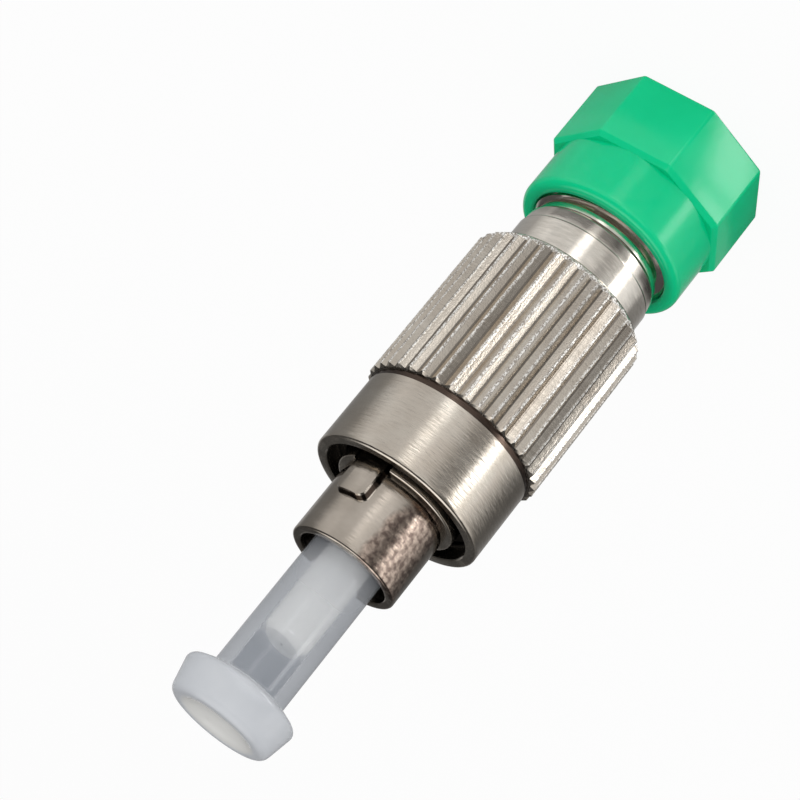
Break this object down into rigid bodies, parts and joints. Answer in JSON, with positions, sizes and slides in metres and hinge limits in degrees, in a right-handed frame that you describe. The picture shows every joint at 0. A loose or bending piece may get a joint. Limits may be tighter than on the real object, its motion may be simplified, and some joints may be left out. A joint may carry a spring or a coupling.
{
  "type": "fiber optic adapter",
  "caption": "Straight threaded adapter for 2.5 mm fibre ferrules: plug with a knurled coupling nut at one end, threaded receptacle at the other, dust caps on both.",
  "frame": {"origin": "centre of the green cap's flat end, which the adapter stands on", "axes": "+Z along the optical axis, from the cap towards the ferrule's tip; the plug's key points to -Y"},
  "size_m": [0.0108, 0.0108, 0.039],
  "materials": {
    "green_cap": "moulded polyethylene, satin gloss",
    "nickel": "turned brass, nickel-plated",
    "zirconia": "ground zirconia ceramic, white",
    "fibre_glass": "drawn silica glass",
    "spring_steel": "drawn stainless wire",
    "clear_cover": "moulded soft plastic, milky clear"
  },
  "bodies": {
    "cap": {"barrel_cap": "green_cap"},
    "adapter": {"rear_barrel": "nickel", "sleeve_holder": "nickel", "split_sleeve": "zirconia", "body_core": "nickel", "key_sleeve": "nickel", "ferrule_spring": "spring_steel"},
    "nut_carrier": {"nut_ring": "spring_steel"},
    "nut": {"coupling_nut": "nickel"},
    "ferrule": {"ferrule": "zirconia", "fibre_stub": "fibre_glass", "ferrule_collar": "nickel"},
    "cover": {"ferrule_cap": "clear_cover"}
  },
  "joints": [
    {"name": "cap_pull", "type": "slide", "parent": "cap", "child": "adapter", "axis": [0, 0, 1], "range_m": [0, 0.0065]},
    {"name": "nut_slide", "type": "slide", "parent": "adapter", "child": "nut_carrier", "axis": [0, 0, 1], "range_m": [0, 0.0035]},
    {"name": "nut_turn", "type": "hinge", "parent": "nut_carrier", "child": "nut", "pos_m": [0, 0, 0.018], "axis": [0, 0, 1], "continuous": true},
    {"name": "ferrule_push", "type": "slide", "parent": "adapter", "child": "ferrule", "axis": [0, 0, -1], "range_m": [0, 0.0013], "stiffness_N_per_m": 3000, "springref_m": -0.001, "deforming": ["ferrule_spring"]},
    {"name": "cover_pull", "type": "slide", "parent": "ferrule", "child": "cover", "axis": [0, 0, 1], "range_m": [0, 0.008]}
  ]
}
